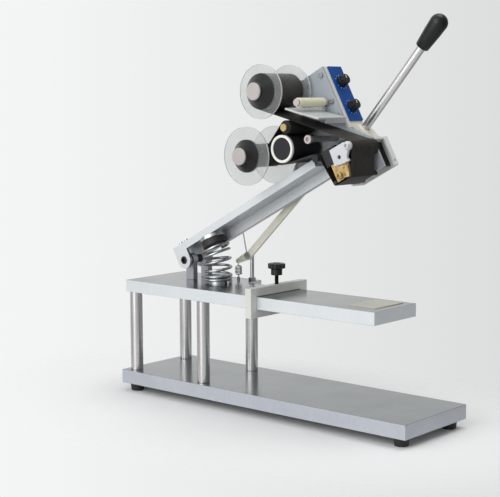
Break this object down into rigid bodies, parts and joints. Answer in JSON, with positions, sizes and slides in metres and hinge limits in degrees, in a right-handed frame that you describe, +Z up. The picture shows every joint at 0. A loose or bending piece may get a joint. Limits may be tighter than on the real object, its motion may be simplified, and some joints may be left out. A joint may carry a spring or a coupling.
{
  "type": "hot stamp date coder",
  "caption": "Bench lever press that prints dates from heated type through a foil ribbon: sprung arm with reels, feed rod and handle over a table on posts, with a sliding stop.",
  "frame": {"origin": "middle of the footprint, at the underside of the feet", "axes": "+X along the base from the hinge end to the handle end, +Y away from the operator, +Z up"},
  "size_m": [0.44, 0.1298, 0.4679],
  "materials": {
    "aluminium_plate": "satin",
    "bright_steel": "polished",
    "dark_steel": "satin",
    "plated_steel": "satin",
    "spring_steel": "satin",
    "black_rubber": "matt",
    "pad_rubber": "matt",
    "belt_rubber": "satin",
    "grey_paint": "satin",
    "cream_paint": "satin",
    "blue_paint": "satin",
    "black_plastic": "satin",
    "pale_plastic": "satin",
    "foil": "gloss",
    "clear_plastic": "gloss",
    "type_brass": "satin"
  },
  "bodies": {
    "base": {"base_plate": "aluminium_plate", "rubber_feet": "black_rubber", "posts": "bright_steel", "frame_screws": "dark_steel", "bed_plate": "aluminium_plate", "print_pad": "pad_rubber", "hinge_bracket": "aluminium_plate", "hinge_pin": "dark_steel", "lift_spring": "spring_steel", "spring_stud": "plated_steel", "anchor_post": "dark_steel", "feed_spring": "spring_steel"},
    "stop": {"table_stop": "aluminium_plate"},
    "clamp": {"clamp_screw": "dark_steel", "clamp_knob": "black_plastic"},
    "arm": {"arm_bar": "aluminium_plate", "rubber_bumper": "black_rubber", "spring_cup": "plated_steel", "side_plate": "grey_paint", "head_screws": "plated_steel", "control_box": "cream_paint", "front_panel": "blue_paint", "potentiometers": "plated_steel", "cord_gland": "black_plastic", "head_frame": "aluminium_plate", "head_cover": "dark_steel", "heater_block": "aluminium_plate", "heater_cartridge": "plated_steel", "type_holder": "type_brass", "type_clamp": "aluminium_plate", "film_guides": "dark_steel", "film_posts": "bright_steel", "film_web": "foil", "film_tray": "aluminium_plate", "shaft_bushes": "black_plastic", "supply_shaft": "bright_steel", "pinch_axle": "type_brass", "drive_belt": "belt_rubber", "handle_block": "cream_paint", "handle_rod": "bright_steel", "handle_grip": "black_plastic"},
    "supply_reel": {"supply_roll": "foil", "supply_discs": "clear_plastic", "supply_hub": "black_plastic", "supply_cap": "bright_steel"},
    "takeup_reel": {"takeup_spool": "black_plastic", "takeup_discs": "clear_plastic", "takeup_hub": "black_plastic", "takeup_shaft": "bright_steel", "takeup_pulley": "plated_steel"},
    "drive": {"drive_roller": "black_rubber", "drive_ring": "pale_plastic", "drive_shaft": "bright_steel", "drive_pulley": "plated_steel"},
    "pinch": {"pinch_roller": "black_rubber"},
    "sleeve": {"guide_sleeve": "pale_plastic"},
    "rod": {"feed_rod": "cream_paint"},
    "crank": {"feed_crank": "plated_steel"},
    "dial_high": {"upper_dial": "black_plastic"},
    "dial_low": {"lower_dial": "black_plastic"}
  },
  "joints": [
    {"name": "arm_lift", "type": "hinge", "parent": "base", "child": "arm", "pos_m": [-0.1555, 0.01035, 0.1703], "axis": [0, 1, 0], "range_deg": [0, 27.3], "stiffness_Nm_per_rad": 6, "springref_deg": -40.11, "deforming": ["lift_spring"]},
    {"name": "feed_rod_swing", "type": "hinge", "parent": "base", "child": "rod", "pos_m": [-0.086, 0.03835, 0.1775], "axis": [0, 1, 0], "range_deg": [0, 37.1], "deforming": ["feed_spring"]},
    {"name": "feed_crank_swing", "type": "hinge", "parent": "arm", "child": "crank", "pos_m": [0.03004, 0.03285, 0.31765], "axis": [0, 1, 0], "range_deg": [-37, 0]},
    {"name": "drive_spin", "type": "hinge", "parent": "arm", "child": "drive", "pos_m": [0.03004, -0.01115, 0.31765], "axis": [0, 1, 0], "continuous": true},
    {"name": "pinch_spin", "type": "hinge", "parent": "arm", "child": "pinch", "pos_m": [0.03331, -0.01115, 0.34246], "axis": [0, 1, 0], "continuous": true},
    {"name": "supply_spin", "type": "hinge", "parent": "arm", "child": "supply_reel", "pos_m": [-0.00056, -0.01115, 0.38372], "axis": [0, 1, 0], "continuous": true},
    {"name": "takeup_spin", "type": "hinge", "parent": "arm", "child": "takeup_reel", "pos_m": [-0.02327, -0.01115, 0.308], "axis": [0, 1, 0], "continuous": true},
    {"name": "sleeve_spin", "type": "hinge", "parent": "arm", "child": "sleeve", "pos_m": [0.05152, -0.01115, 0.37098], "axis": [0, 1, 0], "continuous": true},
    {"name": "stop_slide", "type": "slide", "parent": "base", "child": "stop", "axis": [1, 0, 0], "range_m": [-0.07, 0.09]},
    {"name": "clamp_turn", "type": "hinge", "parent": "stop", "child": "clamp", "pos_m": [0.0021, -0.0125, 0.1645], "axis": [0, 0, 1], "range_deg": [0, 270]},
    {"name": "upper_dial_turn", "type": "hinge", "parent": "arm", "child": "dial_high", "pos_m": [0.06137, 0.04145, 0.39717], "axis": [0.8829, 0, 0.4695], "range_deg": [-150, 150]},
    {"name": "lower_dial_turn", "type": "hinge", "parent": "arm", "child": "dial_low", "pos_m": [0.07687, 0.04145, 0.36804], "axis": [0.8829, 0, 0.4695], "range_deg": [-150, 150]}
  ],
  "couplings": [
    {"joint": "feed_rod_swing", "follows": "arm_lift", "ratio": 1.3579},
    {"joint": "feed_crank_swing", "follows": "arm_lift", "ratio": -1.3549},
    {"joint": "pinch_spin", "follows": "drive_spin", "ratio": -2.2},
    {"joint": "supply_spin", "follows": "drive_spin", "ratio": -0.77465},
    {"joint": "takeup_spin", "follows": "drive_spin", "ratio": 1.1786}
  ]
}
